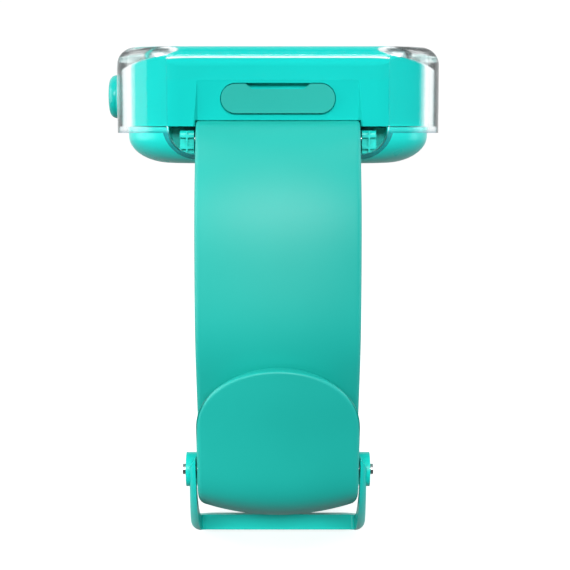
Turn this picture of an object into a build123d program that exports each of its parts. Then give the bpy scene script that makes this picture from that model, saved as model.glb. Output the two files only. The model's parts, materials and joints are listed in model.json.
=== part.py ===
from build123d import *
import math
import os

# Child's smart watch on a buckled 20 mm silicone strap, as a strap-closed loop.
# Origin at the middle of the rear cover's flat wrist face. +Z is up through the
# screen, -Y is the 12 o'clock end with the buckle strap, -X is the button side.

# ---------------------------------------------------------------- dimensions
CASE_W, CASE_L, CASE_R = 36.9, 43.2, 6.2       # upper case plan and corner radius
CASE_Z0, CASE_Z1 = 4.6, 13.6                   # its lower edge and top face
SHOULDER_X, SHOULDER_Y = (10.2, 2.6), (2.2, 1.5)   # elliptical shoulder, across and along
COVER_W, COVER_L, COVER_R = 37.8, 44.2, 6.6    # rear cover plan
COVER_Z1, COVER_FLOOR = 4.5, 1.2
COVER_EDGE = (5.3, 4.0, 3.45)                  # its elliptical lower edge: across, along, height
BUMP_W, BUMP_L, BUMP_R = 40.6, 47.0, 7.8       # clear bumper plan
BUMP_Z1, BUMP_EDGE, BUMP_SIDE = 14.3, 1.3, (2.8, 2.8)
BUMP_GAP, BUMP_GRIP = 0.08, 0.05               # clear of the sides, stretched over the ends
BUMP_SHOULDER = (9.6, 2.3)                     # its inner shoulder, a little fuller than the case's
SKIRT_Z = 3.8                                  # lower edge of the bumper's skirt
HOOP_W, HOOP_Z, HOOP_T = 28.2, 0.6, 0.55       # hoop round the strap root
WINDOW_Z1, WINDOW_Z2 = 10.3, 13.0              # top of the end window, and of its bevel
STRAP_W, STRAP_T = 20.0, 2.5                   # standard 20 mm strap
BAR_Y, BAR_Z = 20.2, 3.05                      # spring bar axis
EAR_X0, EAR_X1 = 10.35, 12.1                   # lug ears
CHANNEL_X, CHANNEL_FLARE, CHANNEL_T = 9.9, 0.6, 0.85  # strap channel half width, flare, depth
CHANNEL_Z = 10.2                               # where the channel has run out
SEAT_Z = 12.45                                 # seat of the screen glass
POCKET_Y = 17.8                                # back of the strap pockets
PORT_W, PORT_H, PORT_Z = 14.0, 3.6, 8.0        # pill-shaped port cover
BTN_Y, BTN_Z, BTN_R = 0.0, 8.75, 3.6           # side button
PIN_Y, PIN_Z, PIN_R = -21.5, -38.3, 0.675      # buckle pin
PIN_HALF = 11.95
FRAME_IN, FRAME_OUT, FRAME_TOP = 10.2, 11.75, 10.9  # buckle frame half widths
FRAME_T, BAR_T, BAR_DEPTH = 1.9, 2.05, 2.1     # thickness of its arms and bar
BAR_END_R, BAR_EDGE_R = 3.0, 1.3               # its rounded corners and outer edge
BOSS_R, BOSS_OUT = 2.15, 11.5
TIP_T = 1.5                                    # thickness at the end of the tail
HOLE_AT_Y = -12.7                              # tail hole that the tang sits in
HOLE_PITCH, HOLE_COUNT = 6.5, 7
SCREW_X, SCREW_Y = 13.0, 14.4

# outer faces of the two straps in the YZ plane, from the lugs downwards
NEAR_OUTER = [(-20.6, 5.25), (-23.9, 5.0), (-27.7, 0.9), (-30.05, -6.2),
              (-30.4, -13.5), (-29.2, -22.9), (-26.3, -29.2), (-24.2, -34.2),
              (-23.45, -37.9)]
TAIL_OUTER = [(20.6, 5.25), (23.9, 5.0), (27.7, 0.9), (30.05, -6.2),
              (30.4, -13.5), (29.6, -22.5), (26.8, -31.8), (20.8, -40.2),
              (11.2, -46.1), (0.0, -48.0), (-11.4, -46.75), (-20.6, -44.35),
              (-25.4, -41.8), (-27.3, -37.2), (-28.5, -32.6), (-29.75, -28.4),
              (-30.8, -24.4)]
# outer face of the buckle frame, from the bar up to the top of the arms
FRAME_OUTER = [(-8.8, -49.40), (-12.0, -48.82), (-16.6, -47.05), (-20.9, -44.15),
               (-23.9, -40.6), (-25.3, -37.2), (-25.5, -35.9)]
TIP_Z, TIP_LEN = -32.9, 8.5                    # start and length of the round tail end


# ------------------------------------------------------------------- helpers
def plate(w, l, r, z0, z1, x=0.0, y=0.0):
    """Upright prism with a rounded-rectangle plan."""
    face = Plane.XY.offset(z0) * (Pos(x, y) * RectangleRounded(w, l, r))
    return extrude(face, z1 - z0)


def block(x0, x1, y0, y1, z0, z1):
    """Plain box between two corners."""
    return Pos((x0 + x1) / 2, (y0 + y1) / 2, (z0 + z1) / 2) * Box(x1 - x0, y1 - y0, z1 - z0)


def rod_x(r, x0, x1, y, z):
    """Round bar along X."""
    return Pos((x0 + x1) / 2, y, z) * Rot(0, 90, 0) * Cylinder(r, x1 - x0)


def rod_z(r, z0, z1, x, y):
    """Round bar along Z."""
    return Pos(x, y, (z0 + z1) / 2) * Cylinder(r, z1 - z0)


def end_prism(w, z0, z1, r, y0, y1):
    """Prism along Y with a rounded-rectangle face in the XZ plane."""
    face = Plane.XZ * (Pos(0, (z0 + z1) / 2) * RectangleRounded(w, z1 - z0, r))
    return Pos(0, y1, 0) * extrude(face, y1 - y0)


def soft_prism(half, z0, z1, corner, top, plane):
    """Long prism whose two upper (or lower) edges are quarter ellipses."""
    a, b = corner
    flat = z1 - z0 - b
    z_mid = z0 + flat / 2 if top else z1 - flat / 2
    z_arc = z1 - b if top else z0 + b
    sketch = Pos(0, z_mid) * Rectangle(2 * half, flat)
    sketch += Pos(0, (z0 + z1) / 2) * Rectangle(2 * (half - a), z1 - z0)
    for x in (-(half - a), half - a):
        sketch += Pos(x, z_arc) * Ellipse(a, b)
    return extrude(plane * sketch, 40, both=True)


def envelope(side=0.0, end=0.0, shoulder=SHOULDER_X):
    """Outer surface of the watch body, domed on top, grown at its sides and at its ends."""
    w, l = CASE_W + 2 * side, CASE_L + 2 * end
    body = plate(w, l, CASE_R + side, -5, CASE_Z1 + 1)
    body &= soft_prism(w / 2, -6, CASE_Z1 + end, shoulder, True, Plane.XZ)
    return body & soft_prism(l / 2, -6, CASE_Z1 + end, SHOULDER_Y, True, Plane.YZ)


def round_edges(solid, z, r):
    """Fillet the outline edges that lie at height z."""
    return fillet(solid.edges().filter_by_position(Axis.Z, z - 0.01, z + 0.01), r)


def both_ends(shape):
    """The shape and its copy at the other end of the case."""
    return [shape, mirror(shape, Plane.XZ)]


def save(name, shape):
    """Write one node to its STEP file."""
    export_step(shape, f"parts/{name}.step")


# -------------------------------------------------------------------- straps
def band(points, thickness, half_width, side):
    """Closed band: a spline outer face, an offset inner face, extruded in X.

    thickness is a function of the position 0..1 along the outer face, and side
    is +1 where the wrist lies to the left of the run.
    """
    outer = Spline(*[(0, y, z) for y, z in points])
    inner_points = []
    for i in range(49):
        u = i / 48
        p, t = outer.position_at(u), outer.tangent_at(u)
        k = side * thickness(u)
        inner_points.append((0, p.Y - t.Z * k, p.Z + t.Y * k))
    inner = Spline(*inner_points)
    face = make_face([outer, inner, Line(outer @ 0, inner @ 0), Line(outer @ 1, inner @ 1)])
    solid = extrude(face, half_width, dir=(1, 0, 0), both=True)
    return solid, outer


def root_thickness(full, u):
    """Thick at the lugs, easing down to the plain band."""
    k = min(1.0, u / full)
    return 3.7 + (STRAP_T - 3.7) * (k * k * (3 - 2 * k))


def tail_thickness(u):
    """The tail strap's thickness: thin again over the last of its length."""
    k = min(1.0, max(0.0, (u - 0.88) / 0.12))
    return root_thickness(0.10, u) - (STRAP_T - TIP_T) * k * k * (3 - 2 * k)


def strap_root(sign):
    """Round end of the strap that the spring bar passes through."""
    return rod_x(1.85, -STRAP_W / 2, STRAP_W / 2, sign * (BAR_Y + 0.2), 3.4)


def make_buckle_strap():
    """Near strap, its lower end wrapped round the buckle pin."""
    solid, _ = band(NEAR_OUTER, lambda u: root_thickness(0.25, u), STRAP_W / 2, side=1)
    half = STRAP_W / 2
    solid = solid + strap_root(-1) + rod_x(2.0, -half, half, PIN_Y, PIN_Z)
    solid -= rod_x(0.80, -half - 1, half + 1, -BAR_Y, BAR_Z)
    solid -= rod_x(PIN_R + 0.01, -half - 1, half + 1, PIN_Y, PIN_Z)
    solid -= block(-1.65, 1.65, PIN_Y - 3.0, PIN_Y + 5.0, PIN_Z - 3.0, PIN_Z + 3.1)
    return solid


def make_tail_strap():
    """Far strap with its adjusting holes and rounded tail."""
    solid, outer = band(TAIL_OUTER, tail_thickness, STRAP_W / 2, side=-1)
    half = STRAP_W / 2
    solid = solid + strap_root(1)
    solid -= rod_x(0.80, -half - 1, half + 1, BAR_Y, BAR_Z)
    tip = extrude(Plane.XZ * Ellipse(half, TIP_LEN), 12, both=True)
    corner = block(-half - 1, half + 1, -40, -25.2, TIP_Z, -15) - Pos(0, -30, TIP_Z) * tip
    solid -= corner
    start = hole_start(outer)
    for i in range(HOLE_COUNT):
        u = start - i * HOLE_PITCH / outer.length
        p, t = outer.position_at(u), outer.tangent_at(u)
        hole = Location(Plane(origin=p, x_dir=(1, 0, 0), z_dir=(0, -t.Z, t.Y)))
        solid -= hole * Pos(0, 0, 0) * extrude(SlotOverall(3.4, 2.2, rotation=90), 4.0, both=True)
    return solid


def hole_start(outer):
    """Position along the tail of the hole that the tang sits in."""
    best = min(range(500, 900), key=lambda i: abs(outer.position_at(i / 1000).Y - HOLE_AT_Y))
    return best / 1000


# ---------------------------------------------------------------- case parts
def strap_channel():
    """Wedge with flared sides, deepest at the case's lower edge, that the strap lies in."""
    y0 = -CASE_L / 2

    def outline(z, depth):
        flare = CHANNEL_FLARE * depth / CHANNEL_T
        right = [(CHANNEL_X, y0 + depth), (CHANNEL_X + flare, y0), (CHANNEL_X + flare, y0 - 2)]
        left = [(-x, y) for x, y in reversed(right)]
        return Plane.XY.offset(z) * Polygon(*right, *left, align=None)

    return loft([outline(CASE_Z0 - 1, CHANNEL_T), outline(CHANNEL_Z, 0.02)])


def nail_slot(y0, y1):
    """Trapezium at the top of the port cover that a fingernail goes into."""
    top = PORT_Z + PORT_H / 2
    nail = Polygon((-3.2, top - 0.65), (3.2, top - 0.65), (4.05, top + 0.1), (-4.05, top + 0.1),
                   align=None)
    return Pos(0, y1, 0) * extrude(Plane.XZ * nail, y1 - y0)


def make_upper_case():
    """Glossy body shell: rounded shoulder, screen seat, strap channel in each end."""
    body = envelope() & plate(60, 60, 1, CASE_Z0, 20)
    w, l, r = CASE_W - 4.0, CASE_L - 3.4, CASE_R - 1.6
    body -= plate(w, l, r, 6.5, SEAT_Z - 1.0)
    body -= plate(w, 33.2, r, CASE_Z0 - 1, 6.5)
    body -= plate(29.2, 34.8, 5.2, SEAT_Z - 1.1, SEAT_Z + 0.1)
    body -= plate(30.6, 36.2, 6.0, SEAT_Z, 15.0)
    for x in (-SCREW_X, SCREW_X):
        for y in (-SCREW_Y, SCREW_Y):
            body += block(x - 1.9, x + 1.9, y - 1.9, y + 1.9, CASE_Z0, 5.75)
            body -= rod_z(0.62, 3.0, 5.3, x, y)
    wedge = strap_channel()
    root = block(-10.2, 10.2, -30, -POCKET_Y, CASE_Z0 - 1, 5.36)
    for cut in both_ends(wedge) + both_ends(root):
        body -= cut
    y0 = -CASE_L / 2
    body -= end_prism(PORT_W + 0.2, PORT_Z - PORT_H / 2 - 0.1, PORT_Z + PORT_H / 2 + 0.1, 1.89,
                      y0 - 1, y0 + 0.95)
    body -= end_prism(13.0, PORT_Z - 0.95, PORT_Z + 1.05, 0.9, y0 - 1, y0 + 4)
    body -= nail_slot(y0 + 0.8, y0 + 1.35)
    body -= rod_x(1.3, -CASE_W / 2 - 1, -CASE_W / 2 + 3, BTN_Y, BTN_Z)
    body -= rod_x(1.8, -CASE_W / 2 + 0.5, -CASE_W / 2 + 3, BTN_Y, BTN_Z)
    for x in (-2.4, 0.0, 2.4):
        body -= rod_x(0.45, CASE_W / 2 - 3, CASE_W / 2 + 1, 4.0 + x, 8.0)
    body -= rod_x(0.3, CASE_W / 2 - 3, CASE_W / 2 + 1, -9.0, 8.0)
    return body


def lug_ear(xc, sy):
    """Ear that holds a spring bar's tip, with two ribs and a thin web on its outer end."""
    width, face = EAR_X1 - EAR_X0, BAR_Y + 0.75
    ear = Pos(xc, sy * (face - 1.9), 2.65) * Box(width, 3.8, 2.9)
    ear = fillet(ear.edges().filter_by(Axis.X).group_by(Axis.Z)[-1], 0.5)
    for z in (BAR_Z + 0.35, BAR_Z - 1.05):
        ear += Pos(xc, sy * face, z) * Box(width, 1.1, 0.34)
    ear += Pos(xc, sy * face, BAR_Z - 0.35) * Box(0.2, 1.1, 2.6)
    return ear - rod_x(0.46, xc - 3, xc + 3, sy * BAR_Y, BAR_Z)


def cover_shell():
    """Solid back with an elliptical lower edge that runs smoothly round its corners."""
    edge_x, edge_y, height = COVER_EDGE
    sections = []
    for a in (0, 12, 24, 38, 52, 66, 78, 90):
        k = 1 - math.sin(math.radians(a))
        plan = RectangleRounded(COVER_W - 2 * edge_x * k, COVER_L - 2 * edge_y * k, COVER_R - 2.4 * k)
        sections.append(Plane.XY.offset(height * (1 - math.cos(math.radians(a)))) * plan)
    return loft(sections) + plate(COVER_W, COVER_L, COVER_R, height, COVER_Z1)


def make_rear_cover():
    """Back shell with rounded edge, strap pockets, lug ears and four screw bosses."""
    body = cover_shell()
    body -= plate(31.6, 32.4, 4.0, COVER_FLOOR, 6.0)
    pocket = end_prism(26.8, 1.3, 8.0, 2.6, -30, -POCKET_Y)
    for cut in both_ends(pocket):
        body -= cut
    for sx in (-1, 1):
        for sy in (-1, 1):
            xc = sx * (EAR_X0 + EAR_X1) / 2
            body += lug_ear(xc, sy)
    for x in (-SCREW_X, SCREW_X):
        for y in (-SCREW_Y, SCREW_Y):
            body += rod_z(1.75, 0.9, COVER_Z1, x, y)
            body -= rod_z(0.75, -1, 6, x, y)
            body -= rod_z(1.3, -1, 0.9, x, y)
    body -= rod_z(4.6, -1, 3, 0, 0)
    body -= rod_z(5.2, 0.8, 3, 0, 0)
    for x in (-4.5, -1.5, 1.5, 4.5):
        body -= rod_z(0.85, -1, 3, x, 9.5)
    return body


def end_window():
    """Opening for strap and port: round below, and bevelled outwards above."""
    w = HOOP_W - 2 * HOOP_T
    window = end_prism(w, HOOP_Z + HOOP_T, WINDOW_Z1, 3.7, -30, -CASE_L / 2 + 0.5)
    y_in, y_out = -CASE_L / 2, -BUMP_L / 2
    bevel = Polygon((y_in + 0.6, 6), (y_in + 0.6, WINDOW_Z1), (y_in, WINDOW_Z1), (y_out, WINDOW_Z2),
                    (y_out - 1, WINDOW_Z2), (y_out - 1, 6), align=None)
    return window + extrude(Plane.YZ * bevel, w / 2, both=True)


def make_bumper():
    """Clear bumper: wall, lip over the shoulder, end windows and strap hoops."""
    body = plate(BUMP_W, BUMP_L, BUMP_R, SKIRT_Z, BUMP_Z1)
    body = round_edges(body, BUMP_Z1, BUMP_EDGE)
    body &= soft_prism(BUMP_W / 2, -6, BUMP_Z1, BUMP_SIDE, True, Plane.XZ)
    body -= envelope(BUMP_GAP, -BUMP_GRIP, BUMP_SHOULDER)
    body -= plate(COVER_W + 0.3, COVER_L + 0.3, COVER_R + 0.15, 0, COVER_Z1 + 0.1)
    body -= plate(31.2, 36.8, 6.2, 10, 20)
    y_out, y_in = -BUMP_L / 2, -COVER_L / 2 - 0.15
    hoop = end_prism(HOOP_W, HOOP_Z, WINDOW_Z1 + 1, 4.2, y_out, y_in)
    for piece in both_ends(hoop):
        body += piece
    for cut in both_ends(end_window()):
        body -= cut
    body -= rod_x(4.2, -BUMP_W, -CASE_W / 2 + 1, BTN_Y, BTN_Z)
    for x in (-2.4, 0.0, 2.4):
        body -= rod_x(0.55, CASE_W / 2 - 1, BUMP_W, 4.0 + x, 8.0)
    return body


def make_port_cover():
    """Soft pill-shaped cover with a fingernail slot and a plug into the card slot."""
    y0 = -CASE_L / 2
    front, back = y0 - 0.05, y0 + 0.85
    body = end_prism(PORT_W, PORT_Z - PORT_H / 2, PORT_Z + PORT_H / 2, 1.79, front, back)
    body -= nail_slot(front - 0.1, back + 0.1)
    plug = end_prism(12.7, PORT_Z - 0.80, PORT_Z + 0.90, 0.8, back - 0.2, back + 1.0)
    return body + plug


def make_button():
    """Two-step domed cap with a stem through the case wall."""
    x0 = -CASE_W / 2
    cap = rod_x(BTN_R, x0 - 3.55, x0 - 1.0, BTN_Y, BTN_Z)
    cap = fillet(cap.edges().filter_by(GeomType.CIRCLE).sort_by(Axis.X)[0], 0.8)
    dome = rod_x(2.95, x0 - 4.6, x0 - 3.4, BTN_Y, BTN_Z)
    dome = fillet(dome.edges().filter_by(GeomType.CIRCLE).sort_by(Axis.X)[0], 1.0)
    stem = rod_x(1.2, x0 - 1.2, x0 + 2.3, BTN_Y, BTN_Z)
    return cap + dome + stem


# -------------------------------------------------------------------- buckle
def bar_thickness(u):
    """Thickness of the buckle frame: full at the bar, easing down along the arms."""
    k = min(1.0, u / 0.4)
    return BAR_T + (FRAME_T - BAR_T) * k * k * (3 - 2 * k)


def make_buckle_frame():
    """Moulded frame, curved like the wrist: a bar, two arms and a pin boss under each arm."""
    frame, outer = band(FRAME_OUTER, bar_thickness, FRAME_OUT, side=-1)
    taper = Polygon((FRAME_OUT, -8.0), (FRAME_TOP, -26.0), (14, -26.0), (14, -8.0), align=None)
    taper = Pos(0, 0, -60) * extrude(taper, 40)
    for cut in (taper, mirror(taper, Plane.YZ)):
        frame -= cut
    bar_y = FRAME_OUTER[0][0]
    ends = [e for e in frame.edges() if abs(e.center().X) > FRAME_IN and e.center().Y > bar_y - 1.7
            and e.length < BAR_T + 0.2]
    frame = fillet(ends, BAR_END_R)
    rim = [e for f in frame.faces() if f.area > 80 and f.normal_at(f.center()).Z < 0
           for e in f.edges() if abs(e.center().X) > 0.01 and e.center().Z < -37]
    frame = fillet(rim, BAR_EDGE_R)
    crown = Polygon((FRAME_TOP + 1, -38.2), (FRAME_TOP, -37.4), (FRAME_IN, -36.2), (FRAME_IN, -34),
                    (13, -34), (13, -38.2), align=None)
    crown = extrude(Plane.XZ * crown, 40, both=True)
    for cut in (crown, mirror(crown, Plane.YZ)):
        frame -= cut
    p, t = outer.position_at(0), outer.tangent_at(0)
    opening = Location(Plane(origin=p, x_dir=(1, 0, 0), z_dir=(0, -t.Z, t.Y)))
    reach = Pos(0, BAR_DEPTH + 20) * RectangleRounded(2 * FRAME_IN, 40, 0.9)
    frame -= opening * extrude(reach, 30, both=True)
    for x0, x1 in ((-BOSS_OUT, -FRAME_IN), (FRAME_IN, BOSS_OUT)):
        frame += rod_x(BOSS_R, x0, x1, PIN_Y, PIN_Z)
    return frame - rod_x(PIN_R + 0.05, -15, 15, PIN_Y, PIN_Z)


def make_tang():
    """Tongue: a hub on the pin, a bowed arm and a tip that sits in the tail's hole."""
    hub = rod_x(1.55, -1.25, 1.25, PIN_Y, PIN_Z)
    path = Polygon((PIN_Y - 0.2, PIN_Z + 1.5), (PIN_Y + 4.8, -38.7), (PIN_Y + 9.2, -41.9),
                   (PIN_Y + 9.7, -45.1), (PIN_Y + 8.6, -45.4), (PIN_Y + 8.0, -42.7),
                   (PIN_Y + 4.2, -40.1), (PIN_Y + 0.3, PIN_Z - 1.4), align=None)
    arm = extrude(Plane.YZ * path, 0.85, both=True)
    tang = hub + arm
    return tang - rod_x(PIN_R + 0.05, -3, 3, PIN_Y, PIN_Z)


# --------------------------------------------------------------- spring bars
def make_barrel(sign):
    """Thin tube inside the strap root."""
    return (rod_x(0.78, -9.2, 9.2, sign * BAR_Y, BAR_Z)
            - rod_x(0.58, -10, 10, sign * BAR_Y, BAR_Z))


def make_tip(sx, sy):
    """Sprung tip: a guided shank, a shoulder and a nose in the lug ear."""
    xs = [sx * v for v in (6.2, 9.9, 11.9)]
    shank = rod_x(0.52, min(xs[0], xs[1]), max(xs[0], xs[1]), sy * BAR_Y, BAR_Z)
    nose = rod_x(0.40, min(xs[1], xs[2]), max(xs[1], xs[2]), sy * BAR_Y, BAR_Z)
    return shank + nose


# ------------------------------------------------------------- inner parts
def make_inner():
    """Everything sealed inside the case, by node name."""
    parts = {}
    z = SEAT_Z
    parts["screen_glass"] = envelope() & plate(30.4, 36.0, 5.9, z + 0.05, 15)
    parts["display_gasket"] = (plate(28.9, 34.5, 5.0, z - 0.6, z + 0.03)
                               - plate(27.0, 32.6, 4.2, z - 1, z + 1))
    parts["display_panel"] = plate(26.8, 32.4, 4.0, z - 1.7, z - 0.05)
    chassis = plate(32.2, 32.4, 4.2, 5.8, 6.3)
    chassis -= plate(18.0, 12.0, 2.0, 5, 7, 0, 6.0)
    parts["chassis"] = chassis
    parts["main_board"] = plate(31.0, 35.0, 4.0, 6.52, 7.2)
    parts["shield_can"] = plate(14.0, 12.0, 0.8, 7.22, 8.7, -4.0, 1.5) - plate(
        13.6, 11.6, 0.6, 7.2, 8.5, -4.0, 1.5)
    chips = [plate(5.0, 5.0, 0.2, 7.22, 8.0, 8.5, -2.5), plate(3.0, 2.6, 0.2, 7.22, 7.9, 9.5, 2.6),
             plate(2.4, 1.6, 0.2, 7.22, 7.8, 5.6, 2.6)]
    parts["board_chips"] = Compound(children=chips)
    parts["battery"] = plate(21.6, 25.0, 1.6, 2.3, 5.5)
    parts["vibration_motor"] = rod_z(3.5, 7.25, 9.65, -10.2, 12.2)
    parts["speaker"] = plate(7.6, 10.4, 1.0, 7.25, 9.9, 10.8, 10.2)
    parts["microphone"] = plate(3.0, 2.2, 0.3, 7.25, 8.3, 13.4, -9.0)
    socket = plate(13.6, 10.0, 0.6, 7.22, 8.9, 0, -12.4)
    socket -= block(-6.35, 6.35, -20, -8.2, 7.5, 8.5)
    parts["card_socket"] = socket
    parts["data_card"] = plate(12.3, 8.8, 0.5, 7.62, 8.3, 0, -12.85)
    x0 = -CASE_W / 2
    parts["button_ring"] = (rod_x(4.15, x0 - 2.05, x0 - 0.05, BTN_Y, BTN_Z)
                            - rod_x(3.7, x0 - 3, x0 + 1, BTN_Y, BTN_Z))
    parts["button_seal"] = (rod_x(1.75, x0 + 0.55, x0 + 1.25, BTN_Y, BTN_Z)
                            - rod_x(1.27, x0, x0 + 2, BTN_Y, BTN_Z))
    parts["button_switch"] = block(x0 + 2.95, x0 + 4.4, BTN_Y - 2.2, BTN_Y + 2.2, 7.22, 10.2)
    gasket = plate(34.4, 34.6, 5.0, COVER_Z1 + 0.01, CASE_Z0 - 0.01)
    gasket -= plate(33.4, 33.6, 4.5, 4, 6)
    parts["rear_gasket"] = gasket
    screws = []
    for x in (-SCREW_X, SCREW_X):
        for y in (-SCREW_Y, SCREW_Y):
            screw = rod_z(1.2, 0.15, 0.85, x, y) + rod_z(0.58, 0.8, 5.0, x, y)
            screws.append(screw - Pos(x, y, 0.2) * Box(1.5, 0.3, 0.5))
    parts["rear_screws"] = Compound(children=screws)
    parts["sensor_window"] = rod_z(4.55, 0, 0.8, 0, 0) + rod_z(5.15, 0.8, 1.15, 0, 0)
    parts["sensor_board"] = rod_z(6.4, 1.65, 2.1, 0, 0)
    leds = [rod_z(0.9, 1.22, 1.63, 0, 0)]
    for i in range(3):
        a = math.radians(90 + 120 * i)
        leds.append(plate(1.4, 1.4, 0.2, 1.22, 1.63, 3.2 * math.cos(a), 3.2 * math.sin(a)))
    parts["sensor_leds"] = Compound(children=leds)
    pads = [rod_z(0.8, 0.0, 1.6, x, 9.5) for x in (-4.5, -1.5, 1.5, 4.5)]
    parts["charge_contacts"] = Compound(children=pads)
    return parts


def main():
    """Build every node and write it."""
    os.makedirs("parts", exist_ok=True)
    nodes = {
        "clear_bumper": make_bumper(),
        "upper_case": make_upper_case(),
        "rear_cover": make_rear_cover(),
        "port_cover": make_port_cover(),
        "side_button": make_button(),
        "buckle_strap": make_buckle_strap(),
        "tail_strap": make_tail_strap(),
        "buckle_frame": make_buckle_frame(),
        "buckle_pin": rod_x(PIN_R, -PIN_HALF, PIN_HALF, PIN_Y, PIN_Z),
        "buckle_tang": make_tang(),
        "bar_barrel_near": make_barrel(-1),
        "bar_barrel_far": make_barrel(1),
    }
    for side, sx in (("left", -1), ("right", 1)):
        for end, sy in (("near", -1), ("far", 1)):
            nodes[f"bar_tip_{end}_{side}"] = make_tip(sx, sy)
    nodes.update(make_inner())
    for name, shape in nodes.items():
        save(name, shape)


main()
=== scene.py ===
import bmesh
import bpy
import json
import math
import numpy as np
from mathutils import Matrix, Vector


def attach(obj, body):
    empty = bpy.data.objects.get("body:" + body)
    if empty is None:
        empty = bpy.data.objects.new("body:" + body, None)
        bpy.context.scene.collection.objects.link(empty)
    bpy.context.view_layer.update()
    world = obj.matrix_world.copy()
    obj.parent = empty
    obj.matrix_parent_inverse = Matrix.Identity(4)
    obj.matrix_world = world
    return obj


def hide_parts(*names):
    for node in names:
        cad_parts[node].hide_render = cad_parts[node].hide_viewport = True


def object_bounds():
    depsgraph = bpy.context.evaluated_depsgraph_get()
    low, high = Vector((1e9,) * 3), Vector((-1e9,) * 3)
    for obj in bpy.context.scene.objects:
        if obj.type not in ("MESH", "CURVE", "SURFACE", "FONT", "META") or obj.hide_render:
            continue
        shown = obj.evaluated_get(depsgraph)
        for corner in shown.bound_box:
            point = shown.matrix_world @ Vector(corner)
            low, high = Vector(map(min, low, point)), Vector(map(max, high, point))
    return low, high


# Looks of a child's smart watch on its buckled silicone strap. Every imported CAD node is
# carried over and painted; the two straps get softer skins of their own.
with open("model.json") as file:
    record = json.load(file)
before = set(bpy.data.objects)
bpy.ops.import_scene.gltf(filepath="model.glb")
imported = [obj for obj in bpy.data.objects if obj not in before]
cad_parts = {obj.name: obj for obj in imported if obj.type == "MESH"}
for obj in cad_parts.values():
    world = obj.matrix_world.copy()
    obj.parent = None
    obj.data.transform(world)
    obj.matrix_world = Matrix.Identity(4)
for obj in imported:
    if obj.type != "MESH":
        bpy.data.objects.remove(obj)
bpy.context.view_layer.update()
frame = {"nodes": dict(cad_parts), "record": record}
NODES = frame["nodes"]
MM = 0.001

# Straps, in millimetres. The lines of their outer faces, in Y and Z, are the CAD's.
NEAR_OUTER = [(-20.6, 5.25), (-23.9, 5.0), (-27.7, 0.9), (-30.05, -6.2),
              (-30.4, -13.5), (-29.2, -22.9), (-26.3, -29.2), (-24.2, -34.2),
              (-23.45, -37.9)]
TAIL_OUTER = [(20.6, 5.25), (23.9, 5.0), (27.7, 0.9), (30.05, -6.2),
              (30.4, -13.5), (29.6, -22.5), (26.8, -31.8), (20.8, -40.2),
              (11.2, -46.1), (0.0, -48.0), (-11.4, -46.75), (-20.6, -44.35),
              (-25.4, -41.8), (-27.3, -37.2), (-28.5, -32.6), (-29.75, -28.4),
              (-30.8, -24.4)]
HALF, TIP_LEN = 10.0, 8.5                          # half width, length of the elliptical tip
ROOT_T, STRAP_T = 3.7, 2.5                         # thickness at the lugs and in the middle
END_T, TIP_T = 3.9, 1.5                            # thickness round the pin and at the tip
NEAR_THIN, TAIL_THIN, TIP_THIN = 0.25, 0.10, 0.12  # shares of the length that root and tip thin over
END_LEN = 6.0                                      # length over which the near strap thickens again
CROWN, CROWN_FROM, CROWN_LEN = 1.6, 1.0, 9.0       # the crown's fall, its start, length to full fall
END_FLAT = 0.75                                    # share of the crown lost round the pin
ROOT_RIM, RIM, TIP_RIM = 0.3, 0.5, 0.25            # outer rim's radius at the root, plain, at the tip
INNER_RIM = 0.35                                   # inner rim's radius
RIM_LEN = 8                                        # length from the root to the plain rim
END_ANGLES = (10, 25, 40, 55, 70, 85)              # degrees round a strap's blunt end
RING_STEP, TIP_RINGS = 0.6, 40                     # spacing along the strap, rings in the tip
HOLE_AT = (-12.7, -46.5)                           # tail hole that the tang sits in, in Y and Z
HOLE_PITCH, HOLE_COUNT, HOLE_SIDES = 6.5, 7, 24
HOLE_LEN, HOLE_W, HOLE_CUT = 1.7, 1.1, 4           # half length, half width, half depth of the cutter


def add(name, data):
    """New object in the scene."""
    ob = bpy.data.objects.new(name, data)
    bpy.context.scene.collection.objects.link(ob)
    return ob


# ---- strap shapes
class Curve:
    """Smooth curve through YZ points: place and direction at a distance along it."""

    def __init__(self, points, count=1200):
        p = np.array(points, float)
        t = np.concatenate([[0], np.cumsum(np.hypot(*np.diff(p, axis=0).T))])
        n, h = len(t), np.diff(t)
        a, rhs = np.zeros((n, n)), np.zeros((n, 2))
        a[0, 0] = a[-1, -1] = 1
        for i in range(1, n - 1):
            a[i, i - 1], a[i, i], a[i, i + 1] = h[i - 1], 2 * (h[i - 1] + h[i]), h[i]
            rhs[i] = 6 * ((p[i + 1] - p[i]) / h[i] - (p[i] - p[i - 1]) / h[i - 1])
        m = np.linalg.solve(a, rhs)
        out = []
        for s in np.linspace(0, t[-1], count):
            i = min(int(np.searchsorted(t, s, side="right")) - 1, n - 2)
            u, v = t[i + 1] - s, s - t[i]
            out.append((m[i] * u**3 + m[i + 1] * v**3) / (6 * h[i])
                       + (p[i] / h[i] - m[i] * h[i] / 6) * u
                       + (p[i + 1] / h[i] - m[i + 1] * h[i] / 6) * v)
        self.pos = np.array(out)
        self.tan = np.gradient(self.pos, axis=0)
        self.tan /= np.linalg.norm(self.tan, axis=1)[:, None]
        self.len = np.concatenate([[0], np.cumsum(np.hypot(*np.diff(self.pos, axis=0).T))])
        self.total = self.len[-1]

    def at(self, s):
        """Position and unit tangent at distance s."""
        p = [np.interp(s, self.len, self.pos[:, k]) for k in (0, 1)]
        t = np.array([np.interp(s, self.len, self.tan[:, k]) for k in (0, 1)])
        return p, t / np.linalg.norm(t)


def smooth(x):
    """Smooth step from 0 to 1."""
    x = min(1.0, max(0.0, x))
    return x * x * (3 - 2 * x)


def rim_drop(r, d):
    """How far a rim of radius r has fallen at distance d in from the outline."""
    k = min(1.0, max(0.0, (r - d) / r))
    return r * (1 - math.sqrt(max(0.0, 1 - k * k)))


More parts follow.
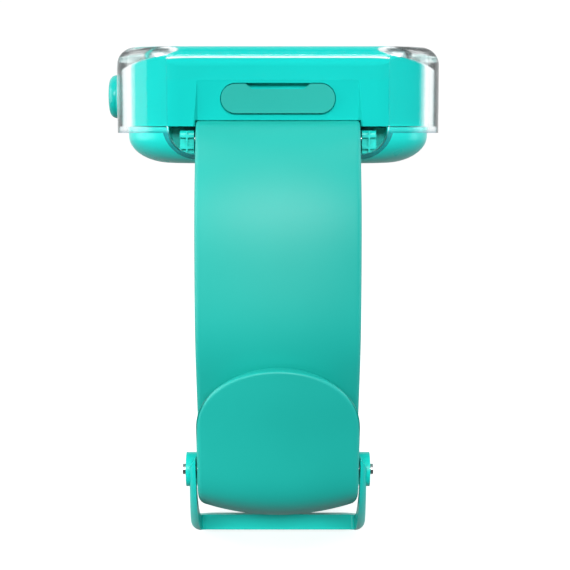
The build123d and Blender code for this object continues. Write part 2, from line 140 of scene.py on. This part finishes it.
def section(thickness, crown, rim, tip=0.0, count=44):
    """Closed strap section as (x, n) pairs: crowned outer face, rounded rims, flat inner face.

    tip runs from 0, the full width, to 1, the end of an elliptical tail.
    """
    width = HALF * math.sqrt(max(0.0, 1 - tip * tip)) if tip > 0 else HALF

    def inset(x):
        if tip <= 0:
            return HALF - abs(x)
        f = math.hypot(x / HALF, tip)
        return max(0.0, (1 - f) * f / max(1e-6, math.hypot(x / HALF**2, tip / TIP_LEN)))

    xs = [width * math.sin(math.pi / 2 * (2 * i / count - 1)) for i in range(count + 1)]
    outer = [(x, -crown * (x / HALF) ** 2 - rim_drop(rim, inset(x))) for x in xs]
    inner = [(x, -thickness + rim_drop(INNER_RIM, inset(x))) for x in reversed(xs)]
    return outer + inner


def loft(name, rings):
    """Mesh from rings of 3-D points, closed at both ends."""
    bm = bmesh.new()
    rows = [[bm.verts.new([c * MM for c in p]) for p in ring] for ring in rings]
    n = len(rows[0])
    for a, b in zip(rows, rows[1:]):
        for i in range(n):
            j = (i + 1) % n
            bm.faces.new((a[i], a[j], b[j], b[i]))
    bm.faces.new(rows[0])
    bm.faces.new(reversed(rows[-1]))
    bmesh.ops.recalc_face_normals(bm, faces=bm.faces)
    mesh = bpy.data.meshes.new(name)
    bm.to_mesh(mesh)
    bm.free()
    for f in mesh.polygons:
        f.use_smooth = True
    return add(name, mesh)


def strap(name, curve, side, thickness, crown, tipped=False):
    """Lofts one strap from its round root. side is +1 on the near strap and -1 on the tail."""
    rings = []

    def ring(p, t, pts):
        n = (t[1] * side, -t[0] * side)
        return [(x, p[0] + n[0] * h, p[1] + n[1] * h) for x, h in pts]

    def round_end(s, sign, angles):
        t0 = thickness(s)
        p0, t = curve.at(s)
        for a in angles:
            k, q = math.cos(math.radians(a)), math.sin(math.radians(a))
            p = [p0[i] + sign * t[i] * t0 / 2 * q for i in (0, 1)]
            pts = [(x, (h + t0 / 2) * k - t0 / 2) for x, h in section(t0, crown(s), ROOT_RIM)]
            rings.append(ring(p, t, pts))

    round_end(0, -1, reversed(END_ANGLES))
    straight = curve.total - (TIP_LEN if tipped else 0)
    for s in np.linspace(0, straight, int(straight / RING_STEP)):
        p, t = curve.at(s)
        rim = ROOT_RIM + (RIM - ROOT_RIM) * smooth(s / RIM_LEN)
        rings.append(ring(p, t, section(thickness(s), crown(s), rim)))
    if tipped:
        for i in range(1, TIP_RINGS + 1):
            k = math.sin(math.radians(90 * i / (TIP_RINGS + 0.5)))
            s = straight + TIP_LEN * k
            p, t = curve.at(s)
            rim = RIM + (TIP_RIM - RIM) * k
            rings.append(ring(p, t, section(thickness(s), crown(s), rim, tip=k)))
    else:
        round_end(curve.total, 1, END_ANGLES)
    return loft(name, rings)


def cut(ob, cutters):
    """Cuts the cutters out of ob and deletes them."""
    for c in cutters:
        m = ob.modifiers.new("cut", "BOOLEAN")
        m.operation, m.solver, m.object = "DIFFERENCE", "EXACT", c
    dg = bpy.context.evaluated_depsgraph_get()
    mesh = bpy.data.meshes.new_from_object(ob.evaluated_get(dg))
    ob.modifiers.clear()
    ob.data = mesh
    for c in cutters:
        bpy.data.objects.remove(c)


def hole_cutter(s):
    """Oblong prism through the tail at distance s along it."""
    (y, z), (ty, tz) = TAIL.at(s)
    rings = []
    for d in (-HOLE_CUT, HOLE_CUT):
        ring = []
        for i in range(HOLE_SIDES):
            a = 2 * math.pi * i / HOLE_SIDES
            along = HOLE_W * math.sin(a) + (HOLE_LEN - HOLE_W) * (1 if math.sin(a) >= 0 else -1)
            ring.append((HOLE_W * math.cos(a), y + ty * along - tz * d, z + tz * along + ty * d))
        rings.append(ring)
    return loft("cutter", rings)


# ---- materials
def fade(tree, space, axis, edges, values):
    """Smooth change of a value along an axis, between two places in the named coordinates."""
    co = tree.nodes.new("ShaderNodeTexCoord")
    sep = tree.nodes.new("ShaderNodeSeparateXYZ")
    tree.links.new(co.outputs[space], sep.inputs["Vector"])
    step = tree.nodes.new("ShaderNodeMapRange")
    step.interpolation_type = "SMOOTHSTEP"
    for key, value in zip(("From Min", "From Max", "To Min", "To Max"), edges + values):
        step.inputs[key].default_value = value
    tree.links.new(sep.outputs[axis], step.inputs["Value"])
    return step.outputs["Result"]


def combine(tree, operation, a, b):
    """Maths on two values."""
    n = tree.nodes.new("ShaderNodeMath")
    n.operation = operation
    tree.links.new(a, n.inputs[0])
    tree.links.new(b, n.inputs[1])
    return n.outputs["Value"]


class Mat:
    """Small helper that wires a Principled material."""

    def __init__(self, name, rough=0.4, metallic=0.0, ior=1.45, spec=0.5):
        self.m = bpy.data.materials.new(name)
        self.m.use_nodes = True
        self.t = self.m.node_tree
        self.b = self.t.nodes["Principled BSDF"]
        self.b.inputs["Roughness"].default_value = rough
        self.b.inputs["Metallic"].default_value = metallic
        self.b.inputs["IOR"].default_value = ior
        self.b.inputs["Specular IOR Level"].default_value = spec
        self.co = self.t.nodes.new("ShaderNodeTexCoord").outputs["Object"]

    def noise(self, scale, detail=2.0):
        """Noise in the object's own coordinates."""
        n = self.t.nodes.new("ShaderNodeTexNoise")
        n.inputs["Scale"].default_value = scale
        n.inputs["Detail"].default_value = detail
        self.t.links.new(self.co, n.inputs["Vector"])
        return n.outputs["Fac"]

    def ramp(self, fac, stops):
        """Colour that runs between two stops, each a position and a colour."""
        r = self.t.nodes.new("ShaderNodeValToRGB")
        els = r.color_ramp.elements
        els[0].position, els[0].color = stops[0][0], (*stops[0][1], 1)
        els[1].position, els[1].color = stops[1][0], (*stops[1][1], 1)
        self.t.links.new(fac, r.inputs["Fac"])
        return r.outputs["Color"]

    def span(self, fac, lo, hi):
        """Value that runs from lo to hi."""
        r = self.t.nodes.new("ShaderNodeMapRange")
        r.inputs["To Min"].default_value, r.inputs["To Max"].default_value = lo, hi
        self.t.links.new(fac, r.inputs["Value"])
        return r.outputs["Result"]

    def colour(self, a, b, scale):
        """Colour that drifts between a and b."""
        drift = self.ramp(self.noise(scale, 3), [(0.35, a), (0.65, b)])
        self.t.links.new(drift, self.b.inputs["Base Color"])

    def roughness(self, lo, hi, scale):
        """Roughness that varies between lo and hi."""
        self.t.links.new(self.span(self.noise(scale), lo, hi), self.b.inputs["Roughness"])

    def let_lamps_through(self):
        """Lets lamp and diffuse rays through the clear plastic, which bends every other ray."""
        path = self.t.nodes.new("ShaderNodeLightPath").outputs
        clear = self.t.nodes.new("ShaderNodeBsdfTransparent")
        mix = self.t.nodes.new("ShaderNodeMixShader")
        either = combine(self.t, "MAXIMUM", path["Is Shadow Ray"], path["Is Diffuse Ray"])
        self.t.links.new(either, mix.inputs[0])
        self.t.links.new(self.b.outputs["BSDF"], mix.inputs[1])
        self.t.links.new(clear.outputs["BSDF"], mix.inputs[2])
        self.t.links.new(mix.outputs["Shader"], self.t.nodes["Material Output"].inputs["Surface"])

    def grain(self, scale, strength):
        """Very fine moulded grain."""
        n = self.t.nodes.new("ShaderNodeBump")
        n.inputs["Strength"].default_value = strength
        n.inputs["Distance"].default_value = 0.02 * MM
        self.t.links.new(self.noise(scale), n.inputs["Height"])
        self.t.links.new(n.outputs["Normal"], self.b.inputs["Normal"])


def srgb(r, g, b):
    """Linear colour from 0-255 display values."""
    return tuple(((c / 255 + 0.055) / 1.055) ** 2.4 if c > 10 else c / 255 / 12.92
                 for c in (r, g, b))


# plastics: specular level; two display colours and their scale; roughness range and its
# scale; grain's scale and strength
PLASTICS = {
    "silicone_teal": (0.6, (14, 175, 163), (18, 180, 168), 45, (0.46, 0.54, 2500), (6000, 0.12)),
    "gloss_teal": (0.0, (20, 193, 185), (22, 197, 189), 30, (0.12, 0.18, 400), None),
    "satin_teal": (0.4, (26, 214, 203), (32, 218, 207), 40, (0.25, 0.31, 300), None),
    "button_teal": (0.4, (14, 180, 171), (18, 185, 176), 60, (0.20, 0.28, 1500), None),
    "buckle_plastic": (0.3, (16, 203, 191), (20, 208, 196), 60, (0.26, 0.34, 2000), (9000, 0.05)),
    "port_teal": (0.25, (16, 164, 153), (20, 168, 157), 60, (0.50, 0.60, 2500), (7000, 0.1)),
}
# small and hidden pieces: roughness, index of refraction, specular level; two colours and
# their scale; grain's scale and strength
SMALL = {
    "dark_window": (0.08, 1.5, 0.5, (0.010, 0.010, 0.014), (0.016, 0.014, 0.02), 200, None),
    "black_gloss": (0.1, 1.45, 0.1, (0.004, 0.004, 0.006), (0.007, 0.007, 0.009), 100, None),
    "black_rubber": (0.7, 1.45, 0.5, (0.018, 0.018, 0.018), (0.026, 0.026, 0.026), 300, (5000, 0.1)),
    "black_plastic": (0.5, 1.45, 0.5, (0.02, 0.02, 0.02), (0.03, 0.03, 0.03), 300, (5000, 0.1)),
    "board": (0.4, 1.45, 0.5, (0.01, 0.09, 0.035), (0.014, 0.13, 0.05), 500, None),
    "card_plastic": (0.4, 1.45, 0.5, (0.7, 0.7, 0.68), (0.78, 0.78, 0.75), 200, None),
    "led": (0.3, 1.45, 0.5, (0.5, 0.7, 0.3), (0.6, 0.8, 0.35), 900, None),
}
# metals: two colours; roughness
METALS = {
    "steel": ((0.55, 0.55, 0.56), (0.66, 0.66, 0.67), 0.25),
    "alloy": ((0.62, 0.63, 0.65), (0.7, 0.71, 0.73), 0.4),
    "foil": ((0.6, 0.6, 0.62), (0.7, 0.7, 0.72), 0.35),
    "gold": ((0.75, 0.52, 0.18), (0.85, 0.62, 0.25), 0.25),
}


def plastic(slot):
    """Moulded plastic or silicone."""
    spec, a, b, scale, rough, grain = PLASTICS[slot]
    m = Mat(slot, spec=spec)
    m.colour(srgb(*a), srgb(*b), scale)
    m.roughness(*rough)
    if grain:
        m.grain(*grain)
    return m


def small_piece(slot):
    """Piece that is small or out of sight."""
    rough, ior, spec, a, b, scale, grain = SMALL[slot]
    m = Mat(slot, rough, ior=ior, spec=spec)
    m.colour(a, b, scale)
    if grain:
        m.grain(*grain)
    return m


def metal(slot):
    """Bare metal with fine scratches."""
    a, b, rough = METALS[slot]
    m = Mat(slot, rough, metallic=1.0)
    m.colour(a, b, 800)
    m.roughness(rough - 0.06, rough + 0.08, 3000)
    return m


def clear_plastic():
    """Soft clear bumper, with painted shade in its colour: darker blue-grey at glancing angles and
    grey-blue at the height of its hoops and lower edge.
    """
    m = Mat("clear_plastic", ior=1.33, spec=0.1)
    m.b.inputs["Transmission Weight"].default_value = 1.0
    # Painted shade: the colour turns darker blue-grey where the surface is seen at a glancing angle,
    # standing in for the dark outlines of the clear edges.
    edge = m.t.nodes.new("ShaderNodeLayerWeight")
    edge.inputs["Blend"].default_value = 0.5
    rim = m.ramp(edge.outputs["Facing"], [(0.45, (0.98, 1.0, 1.0)), (1.0, (0.50, 0.70, 0.78))])
    # Painted shade: the colour turns grey-blue below a height of 3.7 to 4.3 mm, over the hoops and
    # lower edge, standing in for the shade seen in the clear wall.
    low = m.ramp(fade(m.t, "Object", "Z", (3.7 * MM, 4.3 * MM), (0.0, 1.0)),
                 [(0.0, (0.36, 0.46, 0.52)), (1.0, (1.0, 1.0, 1.0))])
    # Both painted shades, multiplied into the base colour.
    painted_edge_shade = m.t.nodes.new("ShaderNodeVectorMath")
    painted_edge_shade.operation = "MULTIPLY"
    m.t.links.new(rim, painted_edge_shade.inputs[0])
    m.t.links.new(low, painted_edge_shade.inputs[1])
    m.t.links.new(painted_edge_shade.outputs["Vector"], m.b.inputs["Base Color"])
    m.roughness(0.11, 0.15, 600)
    m.let_lamps_through()
    return m


def screen_glass():
    """Cover glass."""
    m = Mat("screen_glass", ior=1.5, spec=0.3)
    m.b.inputs["Transmission Weight"].default_value = 1.0
    m.colour((0.85, 0.87, 0.88), (0.88, 0.9, 0.9), 20)
    m.roughness(0.03, 0.06, 300)
    return m


MATS = {"clear_plastic": clear_plastic(), "screen_glass": screen_glass()}
for table, make in ((PLASTICS, plastic), (SMALL, small_piece), (METALS, metal)):
    MATS.update({slot: make(slot) for slot in table})


def paint(ob, slot):
    """Gives ob the material of that slot."""
    ob.data.materials.clear()
    ob.data.materials.append(MATS[slot].m)


for row in frame["record"]["subparts"]:
    paint(NODES[row["node"]], row["material_slot"])
paint(NODES["port_cover"], "port_teal")


# ---- strap skins
NEAR, TAIL = Curve(NEAR_OUTER), Curve(TAIL_OUTER)


def near_end(s):
    """0 along the near strap, rising to 1 where it wraps round the pin."""
    return smooth((s - NEAR.total + END_LEN) / END_LEN)


def near_thickness(s):
    """Thick at the lugs, plain in the middle and thick again round the pin."""
    t = ROOT_T + (STRAP_T - ROOT_T) * smooth(s / (NEAR_THIN * NEAR.total))
    return t + (END_T - STRAP_T) * near_end(s)


def tail_thickness(s):
    """Thick at the lugs, plain in the middle and thin at the tip."""
    u = s / TAIL.total
    return (ROOT_T + (STRAP_T - ROOT_T) * smooth(u / TAIL_THIN)
            + (TIP_T - STRAP_T) * smooth((u - (1 - TIP_THIN)) / TIP_THIN))


def tail_crown(s):
    """Fall of the crown at the edges: none at the lugs, then full."""
    return CROWN * smooth((s - CROWN_FROM) / CROWN_LEN)


def near_crown(s):
    """The same, nearly flat again round the pin."""
    return tail_crown(s) * (1 - END_FLAT * near_end(s))


near = strap("near_strap", NEAR, 1, near_thickness, near_crown)
far = strap("tail_strap_skin", TAIL, -1, tail_thickness, tail_crown, tipped=True)
tang_s = TAIL.len[int(np.argmin(np.hypot(*(TAIL.pos - HOLE_AT).T)))]
cut(far, [hole_cutter(tang_s - HOLE_PITCH * i) for i in range(HOLE_COUNT)])
for ob, node in ((near, "buckle_strap"), (far, "tail_strap")):
    paint(ob, "silicone_teal")
    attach(ob, "watch")
    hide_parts(node)


# ---- stage, in metres
FLOOR_SIZE, FLOOR_DROP = 6.0, 0.0002
FLOOR_GREY, FLOOR_GLOW = (0.49, 0.51), 0.72  # range of the grey, and white light added to it
WHITE = (1, 1, 1)
# lamps: place, aim, two sides, radiance, colour
LAMPS = {
    "key_front": ((0, -1.50, 0.50), (0, -0.03, -0.006), (1.80, 0.36), 14.2, WHITE),
    "high": ((0, -0.80, 0.90), (0, -0.03, 0), (1.20, 0.40), 1.0, WHITE),
    "side_left": ((-0.36, -0.06, 0.04), (0, 0, 0), (0.32, 0.30), 3.4, WHITE),
    "side_right": ((0.36, 0.00, 0.04), (0, 0, 0), (0.14, 0.30), 3.4, (0.7, 0.92, 1.0)),
    "top": ((0, 0.10, 0.60), (0, 0, 0), (0.50, 0.50), 0.4, WHITE),
}
# the room's light by direction: edges of the change, and its level before and after
ROOM_BEHIND = (-0.30, 0.45), (0.18, 1.03)
ROOM_UNDER = (-0.30, -0.02), (0.42, 1.0)
CAMERA_AT, CAMERA_DOWN = (0, -0.2004, 0.0038), 6.0  # place, and degrees below the horizontal
LENS, SENSOR, SHIFT_X = 91.4, 36, 7 / 570           # millimetres, millimetres, share of the image


def make_floor():
    """Pale floor just under the strap, which throws no light back on it."""
    bm = bmesh.new()
    bmesh.ops.create_grid(bm, x_segments=8, y_segments=8, size=FLOOR_SIZE)
    mesh = bpy.data.meshes.new("floor")
    bm.to_mesh(mesh)
    bm.free()
    floor = add("floor", mesh)
    floor.location = (0, 0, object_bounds()[0].z - FLOOR_DROP)
    floor.visible_diffuse = floor.visible_glossy = False
    m = Mat("floor_white", 0.9, spec=0.1)
    m.colour(*((grey, grey, grey) for grey in FLOOR_GREY), 3)
    m.b.inputs["Emission Color"].default_value = (*WHITE, 1)
    m.b.inputs["Emission Strength"].default_value = FLOOR_GLOW
    mesh.materials.append(m.m)


def make_room():
    """Room that looks white, and lights less from behind the camera and from underneath."""
    world = bpy.data.worlds.new("studio")
    world.use_nodes = True
    t = world.node_tree
    glow = combine(t, "MULTIPLY", fade(t, "Generated", "Y", *ROOM_BEHIND),
                   fade(t, "Generated", "Z", *ROOM_UNDER))
    camera_ray = t.nodes.new("ShaderNodeLightPath").outputs["Is Camera Ray"]
    back = t.nodes["Background"]
    back.inputs["Color"].default_value = (*WHITE, 1)
    t.links.new(combine(t, "MAXIMUM", glow, camera_ray), back.inputs["Strength"])
    bpy.context.scene.world = world


def make_lamp(name, place, aim, sides, radiance, colour):
    """Rectangular lamp turned towards its aim."""
    data = bpy.data.lights.new(name, "AREA")
    data.shape, data.size, data.size_y = "RECTANGLE", *sides
    data.energy, data.color = radiance * math.pi * sides[0] * sides[1], colour
    ob = add(name, data)
    ob.location = place
    ob.rotation_euler = (Vector(aim) - Vector(place)).to_track_quat("-Z", "Y").to_euler()


def make_camera():
    """Camera at the 12 o'clock end, a little above the watch."""
    cam = bpy.data.cameras.new("camera")
    cam.lens, cam.sensor_width, cam.shift_x = LENS, SENSOR, SHIFT_X
    cam.clip_start, cam.clip_end = 0.005, 20
    ob = add("camera", cam)
    ob.location = CAMERA_AT
    ob.rotation_euler = (math.radians(90 - CAMERA_DOWN), 0, 0)
    bpy.context.scene.camera = ob


make_floor()
make_room()
for name, lamp in LAMPS.items():
    make_lamp(name, *lamp)
make_camera()
bpy.context.scene.view_settings.view_transform = "Standard"
